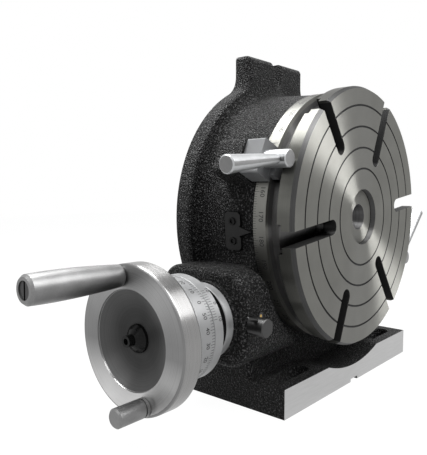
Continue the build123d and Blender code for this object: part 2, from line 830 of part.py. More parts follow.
def long_handle():
    y, z = handle_place(1)
    near = handwheel_face - 0.25
    far = handwheel_face - long_handle_length
    bore = handle_pin_radius + running_fit
    seat = far + 5.0
    swell = long_handle_root + 0.7 * (long_handle_end - long_handle_root)
    with BuildSketch() as outline:
        with BuildLine():
            Polyline((near, bore), (near, long_handle_root - 1.0), (near - 1.2, long_handle_root))
            Spline((near - 1.2, long_handle_root),
                   (near - long_handle_length * 0.35, swell),
                   (far + long_handle_length * 0.22, long_handle_end),
                   (far + 2.0, long_handle_end - 0.4))
            Polyline((far + 2.0, long_handle_end - 0.4), (far, long_handle_end - 2.0),
                     (far, handle_pin_head + running_fit), (seat, handle_pin_head + running_fit),
                     (seat, bore), (near, bore))
        make_face()
    return Pos(0, y, z) * revolve(outline.sketch, Axis.X)


def long_handle_pin():
    y, z = handle_place(1)
    seat = handwheel_face - long_handle_length + 5.0 - axial_play
    head_front = seat - 4.2
    pin = rod_x(handle_pin_radius, seat - 1.0, handwheel_face, y, z)
    pin += rod_x(handle_pin_radius - seat_fit, handwheel_face - 1.0, web_back - 0.5, y, z)
    pin += rod_x(handle_pin_head, head_front, seat, y, z)
    slot_end = handle_pin_head + 1.0
    return pin - block(head_front - 1, head_front + 2.0, y - 0.9, y + 0.9, z - slot_end, z + slot_end)


def short_handle():
    y, z = handle_place(-1)
    end = handwheel_face - short_handle_length
    radius = short_handle_radius
    return turned_x([
        (end, 0), (end, radius - 1.2), (end + 1.2, radius), (handwheel_face - 4.2, radius),
        (handwheel_face - 4.2, radius - 0.8), (handwheel_face - 3.0, radius - 0.8),
        (handwheel_face - 3.0, radius), (handwheel_face - 0.4, radius), (handwheel_face, radius - 0.4),
        (handwheel_face, handle_pin_radius - seat_fit), (web_back - 0.5, handle_pin_radius - seat_fit),
        (web_back - 0.5, 0),
    ], y, z)


# Table clamps, drawn on the +X radius and turned into place

def clamp_block():
    back = clamp_pad_front - stand_off
    half = clamp_block_half_width
    inner = drum_front_radius + 2.0
    body = block(inner, clamp_block_outer, clamp_block_front, back, -half, half)
    body = chamfer(body.edges().filter_by(Axis.Y).group_by(Axis.X)[-1], 1.2)
    nose_back = flange_front - clamp_gap
    nose_front = nose_back - clamp_nose_thickness
    nose_root = clamp_axis_radius - lever_hub_radius - clamp_gap
    body += block(clamp_nose_reach, nose_root, nose_front, nose_back,
                  -clamp_nose_half_width, clamp_nose_half_width)
    body -= rod_y(clamp_stud_radius + 0.25, nose_front - 1, back + 1, clamp_axis_radius)
    return body


def clamp_lever(lever_angle, place_angle):
    """Hub with its stud, and the round lever that screws into the hub."""
    hub_back = clamp_block_front - axial_play
    hub = rod_y(lever_hub_radius, lever_hub_front, hub_back, clamp_axis_radius)
    hub = chamfer(hub.edges().filter_by(GeomType.CIRCLE).group_by(Axis.Y)[0], 0.8)
    hub += rod_y(clamp_stud_radius, hub_back - 1.0, clamp_pad_front + clamp_stud_depth, clamp_axis_radius)
    lean = lever_angle - place_angle
    start = lever_hub_radius - 2.5
    lever = revolve(make_face(Polyline(
        (start, 0), (start, lever_root_radius - 1.0), (lever_hub_radius + 1.5, lever_root_radius - 1.0),
        (lever_hub_radius + 2.5, lever_root_radius), (lever_length - 1.0, lever_end_radius),
        (lever_length, lever_end_radius - 1.0), (lever_length, 0), close=True)), Axis.X)
    spot = Pos(clamp_axis_radius, lever_axis_y, 0) * Rot(0, -lean, 0)
    hole = spot * Pos(start - 0.3, 0, 0) * Rot(0, 90, 0) * Cylinder(
        lever_root_radius - 1.0 + seat_fit, lever_hub_radius, align=(Align.CENTER, Align.CENTER, Align.MIN))
    hub -= hole
    turn = about_spindle(place_angle)
    return turn * hub, turn * (spot * lever)


# Worm lock screw

def lock_pin_rod(radius, length):
    """Cross pin of the lock screw, above the screw's axis and a little tilted."""
    place = Pos(lock_screw_x, lock_head_front + lock_head_radius, worm_axis_z + lock_pin_rise)
    return place * Rot(0, lock_pin_tilt, 0) * Rot(0, 90, 0) * Cylinder(radius, length)


def lock_screw():
    pad_front = sleeve_axis_y - sleeve_radius - lock_pad_length
    head_back = housing_front - lock_head_gap
    head = rod_y(lock_head_radius, lock_head_front, head_back, lock_screw_x, worm_axis_z)
    head = chamfer(head.edges().filter_by(GeomType.CIRCLE), 0.6)
    stem = rod_y(lock_screw_radius, head_back - 1.0, pad_front - 0.1, lock_screw_x, worm_axis_z)
    return head + stem - lock_pin_rod(lock_pin_radius + seat_fit, lock_pin_length + 2.0)


def lock_pin():
    pin = lock_pin_rod(lock_pin_radius, lock_pin_length)
    return chamfer(pin.edges().filter_by(GeomType.CIRCLE), 0.4)


def lock_pad():
    pad_back = sleeve_axis_y - sqrt(sleeve_radius ** 2 - lock_screw_radius ** 2) + 1.0
    pad_front = sleeve_axis_y - sleeve_radius - lock_pad_length
    pad = rod_y(lock_screw_radius - seat_fit, pad_front, pad_back, lock_screw_x, worm_axis_z)
    return pad - rod_x(sleeve_radius + running_fit, lock_screw_x - 2 * lock_screw_radius,
                       lock_screw_x + 2 * lock_screw_radius, sleeve_axis_y)


half_worm = worm_length / 2
left_hub, left_lever = clamp_lever(lever_angles[0], clamp_angle)
right_hub, right_lever = clamp_lever(lever_angles[1], clamp_angle - 180)

nodes = {
    "base_casting": base_casting(),
    "spindle_bush": spindle_bush(),
    "thrust_ring": thrust_ring(),
    "rear_cover": rear_cover(),
    "rear_cover_screws": rear_cover_screws(),
    "index_plate": index_plate(),
    "index_screws": index_screws(),
    "ball_oiler": oiler_body(0.0, 0.6),
    "sleeve_lock_pad": lock_pad(),
    "rotary_table": rotary_table(),
    "degree_ring": degree_ring(),
    "worm_wheel": worm_wheel(),
    "wheel_screws": wheel_screws(),
    "spindle_nut": spindle_nut(),
    "eccentric_sleeve": eccentric_sleeve(),
    "sleeve_end_plug": sleeve_plug(),
    "sleeve_collar": ring_on_sleeve(collar_radius, collar_front, boss_face - stand_off),
    "vernier_ring": ring_on_sleeve(dial_radius, vernier_front, vernier_back),
    "worm_bush_inner": shaft_bush(half_worm + axial_play, half_worm + worm_bush_length),
    "worm_bush_outer": shaft_bush(-half_worm - worm_bush_length, -half_worm - axial_play),
    "shaft_front_bush": shaft_bush(sleeve_front, sleeve_front + front_bush_length),
    "worm_shaft": worm_shaft(),
    "handwheel_key": key_block(0.0),
    "handwheel": handwheel(),
    "hub_washer": hub_washer(),
    "hub_screw": hub_screw(),
    "short_handle": short_handle(),
    "long_handle_pin": long_handle_pin(),
    "long_handle": long_handle(),
    "dial_ring": dial_ring(),
    "dial_lock_screw": dial_lock_screw(),
    "clamp_block_left": about_spindle(clamp_angle) * clamp_block(),
    "clamp_block_right": about_spindle(clamp_angle + 180) * clamp_block(),
    "clamp_hub_left": left_hub,
    "clamp_hub_right": right_hub,
    "clamp_lever_left": left_lever,
    "clamp_lever_right": right_lever,
    "worm_lock_screw": lock_screw(),
    "lock_screw_pin": lock_pin(),
}

os.makedirs("parts", exist_ok=True)
for name, shape in nodes.items():
    solids = shape if isinstance(shape, list) else [shape]
    export_step(Compound(children=solids) if len(solids) > 1 else solids[0], f"parts/{name}.step")
    print(name, round(sum(item.volume for item in solids)))
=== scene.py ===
import json
import math

import bpy
from mathutils import Matrix, Vector


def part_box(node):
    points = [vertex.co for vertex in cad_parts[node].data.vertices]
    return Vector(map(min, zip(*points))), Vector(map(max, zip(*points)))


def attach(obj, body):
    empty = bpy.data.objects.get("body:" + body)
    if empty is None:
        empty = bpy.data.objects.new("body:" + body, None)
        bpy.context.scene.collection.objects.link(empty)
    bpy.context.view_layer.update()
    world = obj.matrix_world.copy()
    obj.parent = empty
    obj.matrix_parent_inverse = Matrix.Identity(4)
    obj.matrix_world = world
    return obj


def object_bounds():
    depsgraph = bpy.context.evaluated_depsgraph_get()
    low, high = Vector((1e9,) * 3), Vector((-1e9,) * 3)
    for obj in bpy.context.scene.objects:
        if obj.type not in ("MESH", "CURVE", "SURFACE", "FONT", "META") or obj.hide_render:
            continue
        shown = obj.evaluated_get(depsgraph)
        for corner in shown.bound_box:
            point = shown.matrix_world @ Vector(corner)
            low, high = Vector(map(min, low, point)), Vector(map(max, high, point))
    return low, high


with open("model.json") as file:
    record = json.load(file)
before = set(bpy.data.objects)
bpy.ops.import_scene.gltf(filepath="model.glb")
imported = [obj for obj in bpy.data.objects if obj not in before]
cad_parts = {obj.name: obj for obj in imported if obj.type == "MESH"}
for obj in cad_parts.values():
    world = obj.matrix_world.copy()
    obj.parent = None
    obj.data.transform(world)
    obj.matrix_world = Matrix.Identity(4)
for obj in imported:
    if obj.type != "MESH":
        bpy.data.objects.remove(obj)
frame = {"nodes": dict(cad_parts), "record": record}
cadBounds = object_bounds()
solids = frame["nodes"]
mm = 0.001
print("frame loaded:", len(solids), "solids")


# Places that several pieces share, read from the solids

def middleOf(node):
    low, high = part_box(node)
    return [(a + b) / 2 for a, b in zip(low, high)]


wormAxisY, wormAxisZ = middleOf("dial_ring")[1:]
print("worm axis at", round(wormAxisY, 4), round(wormAxisZ, 4))


# Shader helpers

def feed(tree, value, socket):
    # a socket is wired, a plain value is set
    if isinstance(value, bpy.types.NodeSocket):
        tree.links.new(value, socket)
    else:
        socket.default_value = value


noiseMiddle = (0.3, 0.7)  # noise seldom leaves this part of its range
squareOn = 0.97  # how nearly a surface has to look along a direction


class Paintbox:
    # one material being built round a Principled shader
    def __init__(self, name):
        self.material = bpy.data.materials.new(name)
        self.material.use_nodes = True
        self.tree = self.material.node_tree
        self.tree.nodes.clear()
        self.output = self.tree.nodes.new("ShaderNodeOutputMaterial")
        self.shader = self.tree.nodes.new("ShaderNodeBsdfPrincipled")
        self.tree.links.new(self.shader.outputs["BSDF"], self.output.inputs["Surface"])

    def set(self, **values):
        for key, value in values.items():
            self.shader.inputs[key.replace("_", " ")].default_value = value

    def add(self, kind, inputs=None, **settings):
        node = self.tree.nodes.new("ShaderNode" + kind)
        for key, value in settings.items():
            setattr(node, key, value)
        for key, value in (inputs or {}).items():
            feed(self.tree, value, node.inputs[key])
        return node

    def plug(self, socket, name):
        self.tree.links.new(socket, self.shader.inputs[name])

    def math(self, operation, a, b=0.0):
        return self.add("Math", {0: a, 1: b}, operation=operation).outputs[0]

    def place(self):
        return self.add("TexCoord").outputs["Object"]

    def normal(self):
        return self.add("TexCoord").outputs["Normal"]

    def axes(self, vector):
        return self.add("SeparateXYZ", {0: vector}).outputs

    def noise(self, vector, scale, detail, roughness=0.5):
        inputs = {"Vector": vector, "Scale": scale, "Detail": detail, "Roughness": roughness}
        return self.add("TexNoise", inputs).outputs["Fac"]

    def spread(self, value, low, high, first=0.0, last=1.0):
        inputs = {"Value": value, "From Min": low, "From Max": high, "To Min": first, "To Max": last}
        return self.add("MapRange", inputs).outputs["Result"]

    def vary(self, noise, first, last):
        return self.spread(noise, *noiseMiddle, first, last)

    def around(self, noise, value, share):
        return self.vary(noise, value * (1 - share), value * (1 + share))

    def blend(self, amount, first, second):
        return self.add("Mix", {0: amount, 6: first, 7: second}, data_type="RGBA").outputs[2]

    def shaded(self, colour, shade):
        inputs = {0: 1.0, 6: colour, 7: shade}
        return self.add("Mix", inputs, data_type="RGBA", blend_type="MULTIPLY").outputs[2]

    def mix(self, amount, first, second):
        return self.add("Mix", {0: amount, 2: first, 3: second}).outputs[0]

    def above(self, value, limit):
        return self.math("GREATER_THAN", value, limit)

    def below(self, value, limit):
        return self.math("LESS_THAN", value, limit)

    def both(self, a, b):
        return self.math("MULTIPLY", a, b)

    def either(self, a, b):
        return self.math("MAXIMUM", a, b)

    def length(self, a, b):
        return self.math("SQRT", self.math("ADD", self.both(a, a), self.both(b, b)))

    def facing(self, direction):
        # flat surfaces that look along the direction
        dot = self.add("VectorMath", {0: self.normal(), 1: direction}, operation="DOT_PRODUCT")
        return self.above(dot.outputs["Value"], squareOn)

    def bump(self, height, strength, distance):
        inputs = {"Height": height, "Strength": strength, "Distance": distance}
        return self.add("Bump", inputs).outputs["Normal"]


def grey(value, warmth=0.0):
    return (value + warmth, value, value - warmth, 1.0)


brass = (0.50, 0.34, 0.12, 1.0)


# Wrinkle paint on the casting, with painted glints on its grain and its ground faces left bare

paintLook = {
    "valley": grey(0.0015), "speck": grey(0.105), "speckFrom": 0.52, "speckFull": 0.68,
    "grain": 820.0, "foldGrain": 656.0, "foldDetail": 4.0, "foldRough": 0.65, "height": 2.4 * mm,
    "gloss": 0.12, "dull": 0.62, "shiny": 0.36, "metal": grey(0.50), "metalDark": grey(0.40),
    "metalRough": 0.42, "strokes": (50.0, 800.0, 800.0), "strokeDetail": 3.0,
    "footFrontY": 6.5 * mm, "footTopZ": -138 * mm, "soleZ": -165 * mm, "backY": 120 * mm, "skin": 0.03 * mm,
}


def wrinklePaint():
    look = paintLook
    box = Paintbox("wrinkle_paint")
    place = box.place()
    y, z = box.axes(place)[1:3]
    cell = {"Vector": place, "Scale": look["grain"]}
    cells = box.add("TexVoronoi", cell, feature="SMOOTH_F1").outputs["Distance"]
    folds = box.noise(place, look["foldGrain"], look["foldDetail"], look["foldRough"])
    height = box.math("SUBTRACT", folds, cells)
    front = box.both(box.below(y, look["footFrontY"] + look["skin"]), box.below(z, look["footTopZ"]))
    sole = box.below(z, look["soleZ"] + look["skin"])
    back = box.above(y, look["backY"] - look["skin"])
    bare = box.either(front, box.either(sole, back))
    # painted highlight: where the fold noise is high the colour turns light grey, standing in for glints on
    # the wrinkle grain
    glintSpecks = box.spread(folds, look["speckFrom"], look["speckFull"])
    painted = box.blend(glintSpecks, look["valley"], look["speck"])
    strokes = box.add("Mapping", {"Vector": place, "Scale": look["strokes"]}).outputs[0]
    grain = box.noise(strokes, 1.0, look["strokeDetail"])
    metal = box.blend(grain, look["metalDark"], look["metal"])
    box.plug(box.blend(bare, painted, metal), "Base Color")
    box.plug(bare, "Metallic")
    box.plug(box.mix(bare, box.vary(folds, look["dull"], look["shiny"]), look["metalRough"]), "Roughness")
    box.set(Specular_IOR_Level=look["gloss"])
    box.plug(box.bump(height, box.math("SUBTRACT", 1.0, bare), look["height"]), "Normal")
    return box.material


# Turned metal

turning = {"fine": 2600.0, "fineDetail": 2.0, "fineRough": 0.7, "cloud": 40.0, "cloudDetail": 3.0,
           "cloudDark": 0.93, "cloudLight": 1.05, "roughShare": 0.15, "metallic": 1.0}


def turnedMetal(name, look, axis, centre=(0.0, 0.0), zones=None):
    # turned about one axis: fine rings, and light drawn out across them
    look = {**turning, **look}
    box = Paintbox(name)
    place = box.place()
    x, y, z = box.axes(place)
    if axis == "Y":
        side, up, along = x, z, y
    else:
        side, up, along = box.math("SUBTRACT", y, centre[0]), box.math("SUBTRACT", z, centre[1]), x
    radius = box.length(side, up)
    turns = box.add("CombineXYZ", {0: radius, 1: along}).outputs[0]
    rings = box.noise(turns, look["fine"], look["fineDetail"], look["fineRough"])
    cloud = box.noise(place, look["cloud"], look["cloudDetail"])
    shade = box.both(box.around(rings, 1.0, look["lines"]),
                     box.vary(cloud, look["cloudDark"], look["cloudLight"]))
    colour, rough = look["colour"], box.around(rings, look["rough"], look["roughShare"])
    if zones:
        for mask, tone, roughness in zones(box, {"radius": radius, "along": along, "up": up}):
            colour = box.blend(mask, colour, tone)
            rough = box.mix(mask, rough, roughness)
    box.plug(box.shaded(colour, shade), "Base Color")
    box.plug(rough, "Roughness")
    box.set(Metallic=look["metallic"], Anisotropic=look["stretch"])
    # the tangent lies across the tool marks, on flats and on round sides alike
    marks = box.add("CombineXYZ", {0 if axis == "Y" else 1: up, 2: box.both(side, -1.0)}).outputs[0]
    across = box.add("VectorMath", {0: box.normal(), 1: marks}, operation="CROSS_PRODUCT").outputs[0]
    turned = box.add("VectorTransform", {0: across}, vector_type="VECTOR",
                     convert_from="OBJECT", convert_to="WORLD").outputs[0]
    box.plug(box.add("VectorMath", {0: turned}, operation="NORMALIZE").outputs[0], "Tangent")
    return box.material


# The table. Each zone has a tone and a roughness; the darker zones are painted shade on the rim and its
# bevel, the grooves and T-slots, the recess wall and everything behind the rim.

tableLook = {
    "colour": (0.215, 0.214, 0.199, 1.0), "rough": 0.50, "stretch": 1.0, "lines": 0.2,
    "rim": ((0.100, 0.100, 0.092, 1.0), 0.36), "bevel": (grey(0.10), 0.55), "groove": (grey(0.045), 0.6),
    "slot": (grey(0.03), 0.6), "wall": (grey(0.13), 0.4), "behind": (grey(0.10, 0.001), 0.45),
    "bore": (grey(0.20), 0.4),
    "rimRadius": 122.4 * mm, "wallRadius": 27.4 * mm, "recessRadius": 26.6 * mm, "boreRadius": 12.7 * mm,
    "skin": 0.12 * mm, "grooveDepth": 1.0 * mm, "bevelDepth": 3.75 * mm, "floorLine": 4.9 * mm,
    "rimBack": 16.6 * mm,
}


def tableZones(box, at):
    look, radius, along = tableLook, at["radius"], at["along"]
    sunk = box.above(along, look["skin"])
    # painted shade: the rim, bevel included, is darker than the face; the bevel is also rougher
    rim = box.both(box.above(radius, look["rimRadius"]), sunk)
    bevel = box.both(rim, box.below(along, look["bevelDepth"]))
    between = box.both(box.below(radius, look["rimRadius"]), box.above(radius, look["recessRadius"]))
    # painted shade: every sunk surface between the recess and the rim is dark
    groove = box.both(sunk, between)
    # painted shade: deeper than the grooves, the T-slots are darker still
    slot = box.both(groove, box.above(along, look["grooveDepth"]))
    # painted shade: the recess wall is a mid-dark grey, and the line where it meets the floor keeps the
    # T-slots' darker shade
    wall = box.both(box.both(groove, box.below(radius, look["wallRadius"])),
                    box.below(along, look["floorLine"]))
    # painted shade: everything behind the rim is darker
    behind = box.above(along, look["rimBack"])
    bore = box.both(box.below(radius, look["boreRadius"]), sunk)
    masks = {"rim": rim, "bevel": bevel, "groove": groove, "slot": slot, "wall": wall, "behind": behind,
             "bore": bore}
    return [(mask, *look[name]) for name, mask in masks.items()]


# The handwheel, with a dark cast dish and a brushed face, both with painted light and shade

wheelLook = {
    "colour": grey(0.25, 0.002), "rough": 0.30, "stretch": 0.8, "lines": 0.12, "fine": 1500.0,
    "corner": (grey(0.20), 0.4), "edge": (grey(0.22), 0.3), "web": (grey(0.16), 0.4),
    "dish": grey(0.042), "dishWall": grey(0.095), "dishRough": 0.5, "wallStart": 20.0 * mm,
    "faceTop": grey(0.30), "faceDark": grey(0.20), "faceLight": grey(0.55, 0.002), "faceRough": 0.36,
    "bandNear": 5.0 * mm, "bandFar": 45.0 * mm,
    "dishRadius": 37.3 * mm, "edgeRadius": 37.6 * mm, "faceRadius": 54.2 * mm,
    "faceDepth": 1.0 * mm, "cornerDepth": 1.1 * mm, "edgeDepth": 2.0 * mm, "webDepth": 11.0 * mm,
}


def wheelZones(box, at):
    look, radius, up = wheelLook, at["radius"], at["up"]
    depth = box.math("SUBTRACT", at["along"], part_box("handwheel")[0][0])
    inner = box.below(radius, look["faceRadius"])
    face = box.both(box.below(depth, look["faceDepth"]), inner)
    edge = box.both(box.below(depth, look["edgeDepth"]), box.below(radius, look["edgeRadius"]))
    dish = box.below(radius, look["dishRadius"])
    # the dish is dark cast metal, with painted shade making it darkest inside its middle and lighter up its
    # wall
    wall = box.spread(radius, look["wallStart"], look["dishRadius"])
    dishShade = box.blend(wall, look["dish"], look["dishWall"])
    # painted shade: a darker band on the rounding between the face and the rim
    corner = box.both(box.below(depth, look["cornerDepth"]), box.above(radius, look["faceRadius"]))
    # painted light and shade: the face is lightest towards the bottom, darkest across the middle and
    # mid-grey at the top
    lower = box.spread(up, -look["bandFar"], -look["bandNear"])
    upper = box.spread(up, look["bandNear"], look["bandFar"])
    paintedFaceShading = box.blend(upper, box.blend(lower, look["faceLight"], look["faceDark"]), look["faceTop"])
    web = box.both(box.above(depth, look["webDepth"]), inner)
    return ((corner, *look["corner"]), (face, paintedFaceShading, look["faceRough"]), (edge, *look["edge"]),
            (dish, dishShade, look["dishRough"]), (web, *look["web"]))


# The degree ring, and the chromed rings on the worm axis

ringLook = {"colour": (0.165, 0.164, 0.152, 1.0), "rough": 0.45, "stretch": 0.8, "lines": 0.08}
dialLook = {"colour": grey(0.235, -0.002), "rough": 0.46, "stretch": 0.3, "lines": 0.06, "metallic": 0.75,
            "gap": (grey(0.008), 0.7), "gapRadius": 31.3 * mm}


def collarZones(box, at):
    # painted shade: the collar's end lies deep in the gap behind the vernier and is made near black
    return ((box.below(at["radius"], dialLook["gapRadius"]), *dialLook["gap"]),)


# Plain metal pieces

satin = {"grain": 900.0, "grainDetail": 3.0, "grainRough": 0.6, "grainDark": 0.92, "grainLight": 1.06,
         "cloud": 60.0, "cloudDetail": 3.0, "mottle": 0.08, "roughShare": 0.12, "depth": 0.02 * mm,
         "bump": 0.5, "metallic": 1.0, "gloss": 0.5}
satinLooks = {
    "ground_steel": {"colour": grey(0.34), "rough": 0.35},
    "brushed_handle": {"colour": grey(0.20), "rough": 0.42, "mottle": 0.12, "cloud": 70.0},
    "zinc_lever": {"colour": grey(0.42, -0.006), "rough": 0.40, "grain": 600.0, "depth": 0.04 * mm,
                   "metallic": 0.9, "endAngles": (185.5, 46.0), "end": grey(0.17), "front": grey(0.24)},
    "cast_dog": {"colour": grey(0.16, -0.003), "rough": 0.55, "grain": 500.0, "depth": 0.1 * mm,
                 "metallic": 0.7},
    "lock_steel": {"colour": grey(0.055), "rough": 0.4},
    "satin_plate": {"colour": grey(0.028), "rough": 0.5},
    "black_steel": {"colour": grey(0.004), "rough": 0.25, "metallic": 0.0, "gloss": 0.12},
    "bronze": {"colour": brass, "rough": 0.35},
}


def satinMetal(name):
    look = {**satin, **satinLooks[name]}
    box = Paintbox(name)
    place = box.place()
    fine = box.noise(place, look["grain"], look["grainDetail"], look["grainRough"])
    cloud = box.noise(place, look["cloud"], look["cloudDetail"])
    shade = box.both(box.vary(fine, look["grainDark"], look["grainLight"]),
                     box.around(cloud, 1.0, look["mottle"]))
    colour = look["colour"]
    if "endAngles" in look:
        # painted shade: the levers' cut ends and the hubs' front faces are made darker by the way they face
        for angle in look["endAngles"]:
            outward = (math.cos(math.radians(angle)), 0.0, math.sin(math.radians(angle)))
            colour = box.blend(box.facing(outward), colour, look["end"])
        colour = box.blend(box.facing((0.0, -1.0, 0.0)), colour, look["front"])
    box.plug(box.shaded(colour, shade), "Base Color")
    box.set(Metallic=look["metallic"], Specular_IOR_Level=look["gloss"])
    box.plug(box.around(fine, look["rough"], look["roughShare"]), "Roughness")
    box.plug(box.bump(fine, look["bump"], look["depth"]), "Normal")
    return box.material


oilerLook = {"ball": brass, "seat": grey(0.006), "ballRadius": 1.3 * mm, "rough": 0.4}


def ballOiler():
    # a bright ball in a dark seat
    look = oilerLook
    box = Paintbox("ball_oiler")
    x, _, z = box.axes(box.place())
    centre = middleOf("ball_oiler")
    radius = box.length(box.math("SUBTRACT", x, centre[0]), box.math("SUBTRACT", z, centre[2]))
    ball = box.below(radius, look["ballRadius"])
    box.plug(box.blend(ball, look["seat"], look["ball"]), "Base Color")
    box.plug(ball, "Metallic")
    box.set(Roughness=look["rough"])
    return box.material


inkLook = {"colour": grey(0.012), "rough": 0.6}


def engravedInk():
    box = Paintbox("engraving")
    box.set(Base_Color=inkLook["colour"], Roughness=inkLook["rough"])
    return box.material


wormCentre = (wormAxisY, wormAxisZ)
materials = {name: satinMetal(name) for name in satinLooks}
materials["wrinkle_paint"] = wrinklePaint()
materials["turned_iron"] = turnedMetal("turned_iron", tableLook, "Y", zones=tableZones)
materials["ground_ring"] = turnedMetal("ground_ring", ringLook, "Y")
materials["satin_chrome"] = turnedMetal("satin_chrome", dialLook, "X", wormCentre, collarZones)
materials["polished_steel"] = turnedMetal("polished_steel", wheelLook, "X", wormCentre, wheelZones)
materials["ball_oiler"] = ballOiler()
engraving = engravedInk()

# pieces whose finish isn't their slot's own
ownFinish = {"ball_oiler": "ball_oiler", "worm_lock_screw": "lock_steel", "lock_screw_pin": "lock_steel",
             "hub_washer": "black_steel", "index_screws": "black_steel", "long_handle_pin": "lock_steel"}
for part in frame["record"]["subparts"]:
    solid = solids[part["node"]]
    solid.data.materials.clear()
    solid.data.materials.append(materials[ownFinish.get(part["node"], part["material_slot"])])
print("materials:", len(materials))


# Graduations: a ring of ticks from one Geometry Nodes tree

tickInputs = {"Count": "Int", "Step": "Float", "Start": "Float", "Radius": "Float", "Width": "Float",
              "Depth": "Float", "Short": "Float", "Middle": "Float", "Long": "Float",
              "Middle Every": "Int", "Long Every": "Int", "Material": "Material"}


def tickTree():
    tree = bpy.data.node_groups.new("tickRing", "GeometryNodeTree")
    sockets = {}
    for label, kind in tickInputs.items():
        socket = tree.interface.new_socket(label, in_out="INPUT", socket_type="NodeSocket" + kind)
        sockets[label] = socket.identifier
    tree.interface.new_socket("Geometry", in_out="OUTPUT", socket_type="NodeSocketGeometry")
    given = tree.nodes.new("NodeGroupInput").outputs
    result = tree.nodes.new("NodeGroupOutput")

    def add(kind, inputs, **settings):
        node = tree.nodes.new(kind)
        for key, value in settings.items():
            setattr(node, key, value)
        for key, value in inputs.items():
            feed(tree, value, node.inputs[key])
        return node.outputs[0]

    def sums(operation, a, b):
        return add("ShaderNodeMath", {0: a, 1: b}, operation=operation)

    def vector(**parts):
        return add("ShaderNodeCombineXYZ", {key.upper(): value for key, value in parts.items()})

    def choose(every, yes, no):
        # every so many ticks one is longer: there the remainder is nought
        over = sums("FLOORED_MODULO", index, every)
        hit = add("FunctionNodeCompare", {0: over, 1: 0.5}, data_type="FLOAT", operation="LESS_THAN")
        return add("GeometryNodeSwitch", {0: hit, 1: no, 2: yes}, input_type="FLOAT")

    index = add("GeometryNodeInputIndex", {})
    points = add("GeometryNodeMeshLine", {"Count": given["Count"], "Offset": (0.0, 0.0, 0.0)})
    cube = add("GeometryNodeMeshCube", {"Size": vector(x=given["Depth"], y=1.0, z=given["Width"])})
    outward = vector(x=given["Radius"], y=-0.5)  # so that a tick starts at the seam, whatever its length
    tick = add("GeometryNodeTransform", {"Geometry": cube, "Translation": outward})
    angle = sums("ADD", sums("MULTIPLY", index, given["Step"]), given["Start"])
    middle = choose(given["Middle Every"], given["Middle"], given["Short"])
    length = choose(given["Long Every"], given["Long"], middle)
    ring = add("GeometryNodeInstanceOnPoints", {
        "Points": points, "Instance": tick, "Rotation": vector(y=sums("MULTIPLY", angle, -1.0)),
        "Scale": vector(x=1.0, y=length, z=1.0)})
    real = add("GeometryNodeRealizeInstances", {"Geometry": ring})
    inked = add("GeometryNodeSetMaterial", {"Geometry": real, "Material": given["Material"]})
    tree.links.new(inked, result.inputs[0])
    return tree, sockets


ticksTree, tickSockets = tickTree()


def asMesh(holder):
    bpy.context.view_layer.update()
    view = bpy.context.evaluated_depsgraph_get()
    return bpy.data.meshes.new_from_object(holder.evaluated_get(view))


def shown(name, data):
    piece = bpy.data.objects.new(name, data)
    bpy.context.scene.collection.objects.link(piece)
    return piece


def tickRing(name, values, place):
    # the tree's result as a plain mesh, with its place in the mesh
    holder = shown(name + "_seed", bpy.data.meshes.new(name + "_seed"))
    modifier = holder.modifiers.new("grow", "NODES")
    modifier.node_group = ticksTree
    for label, value in values.items():
        modifier[tickSockets[label]] = value
    mesh = asMesh(holder)
    holder.modifiers.remove(modifier)
    bpy.data.objects.remove(holder)
    mesh.transform(place)
    mesh.update()
    return shown(name, mesh)


def joined(name, numbers):
    # several flat numbers as one piece, each wrapped in its own place
    verts, faces = [], []
    for flat, wrap in numbers:
        first = len(verts)
        verts += [tuple(wrap(v.co)) for v in flat.vertices]
        faces += [[first + i for i in p.vertices] for p in flat.polygons]
    mesh = bpy.data.meshes.new(name)
    mesh.from_pydata(verts, [], faces)
    mesh.materials.append(engraving)
    mesh.update()
    return shown(name, mesh)


numberLook = {"capShare": 0.7, "smooth": 3, "bold": 0.012, "proud": 0.06 * mm}
numberMeshes = {}


def numberMesh(words, height):
    # flat number, centred, its face towards +Z
    if (words, height) not in numberMeshes:
        curve = bpy.data.curves.new("number", "FONT")
        curve.body = words
        curve.size = height / numberLook["capShare"]
        curve.align_x = "CENTER"
        curve.align_y = "CENTER"
        curve.resolution_u = numberLook["smooth"]
        curve.offset = height * numberLook["bold"]
        curve.extrude = numberLook["proud"]
        holder = shown("number", curve)
        numberMeshes[words, height] = asMesh(holder)
        bpy.data.objects.remove(holder)
    return numberMeshes[words, height]


def aroundSpindle(radius, angle, along):
    # wraps a flat number on the ring: it reads with rising angle, its top towards the table's face
    def wrap(p):
        turn = angle + p.x / radius
        reach = radius + p.z
        return Vector((reach * math.cos(turn), along - p.y, reach * math.sin(turn)))
    return wrap


def aroundWorm(radius, angle, along):
    # angle is from the front towards the top; it reads downwards, its top towards the body
    def wrap(p):
        turn = angle - p.x / radius
        reach = radius + p.z
        return Vector((along + p.y, wormAxisY - reach * math.cos(turn), wormAxisZ + reach * math.sin(turn)))
    return wrap


# Degree ring

degreeScale = {"count": 360, "labelEvery": 10, "zeroAngle": 8.0, "ink": 0.12 * mm, "width": 0.42 * mm,
               "short": 2.6 * mm, "middle": 3.6 * mm, "long": 4.6 * mm, "seam": 0.1 * mm,
               "numberHeight": 4.6 * mm, "numberPlace": 8.0 * mm}


